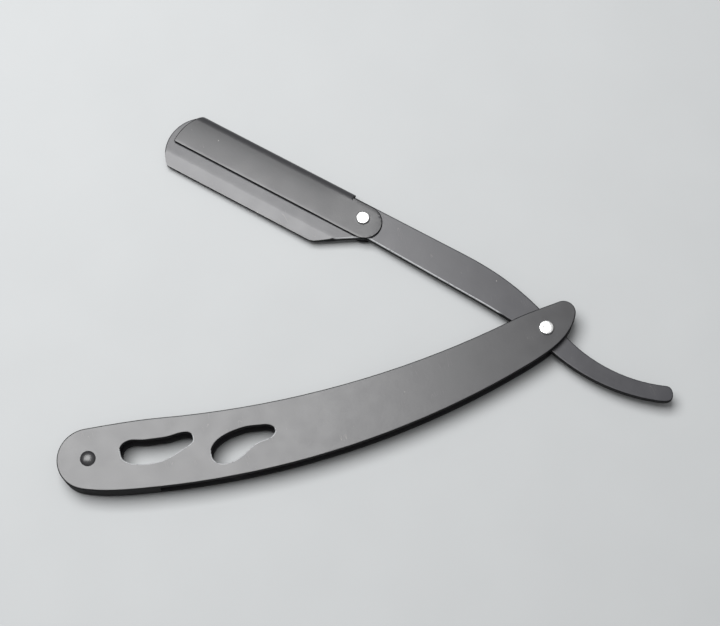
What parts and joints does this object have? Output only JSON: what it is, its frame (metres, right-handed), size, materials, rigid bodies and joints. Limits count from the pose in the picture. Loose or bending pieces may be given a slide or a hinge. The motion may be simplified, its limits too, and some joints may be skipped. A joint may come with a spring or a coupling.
{
  "type": "straight razor",
  "caption": "Folding barber's razor: two-scale handle with cut-outs, curved tang, two-leaf head for half a double-edge blade and a swinging spine clamp.",
  "frame": {"origin": "centre of the pivot rivet's lower head, on the flat face that the razor lies on", "axes": "+Z through the razor's thickness, up from the surface it lies on; +X along the handle's pin line, from the tail pin towards the pivot; the open blade head points to +Y"},
  "size_m": [0.1582, 0.1149, 0.0073],
  "materials": {
    "black_paint": "satin",
    "bright_steel": "bright",
    "plain_steel": "satin"
  },
  "bodies": {
    "handle": {"front_scale": "black_paint", "back_scale": "black_paint", "tail_spacer": "black_paint", "tail_pin": "black_paint", "pivot_rivet": "bright_steel", "pivot_washer_front": "plain_steel", "pivot_washer_back": "plain_steel"},
    "tang": {"tang_front_plate": "black_paint", "tang_back_plate": "black_paint", "blade_stop_pins": "plain_steel", "head_rivet": "bright_steel"},
    "clamp": {"spine_clamp": "black_paint"}
  },
  "joints": [
    {"name": "tang_pivot", "type": "hinge", "parent": "handle", "child": "tang", "pos_m": [0, 0, 0.00365], "axis": [0, 0, 1], "range_deg": [-301.5, 46.2]},
    {"name": "clamp_swing", "type": "hinge", "parent": "tang", "child": "clamp", "pos_m": [-0.03712, 0.04463, 0.00365], "axis": [0, 0, 1], "range_deg": [-97.5, 0]}
  ]
}
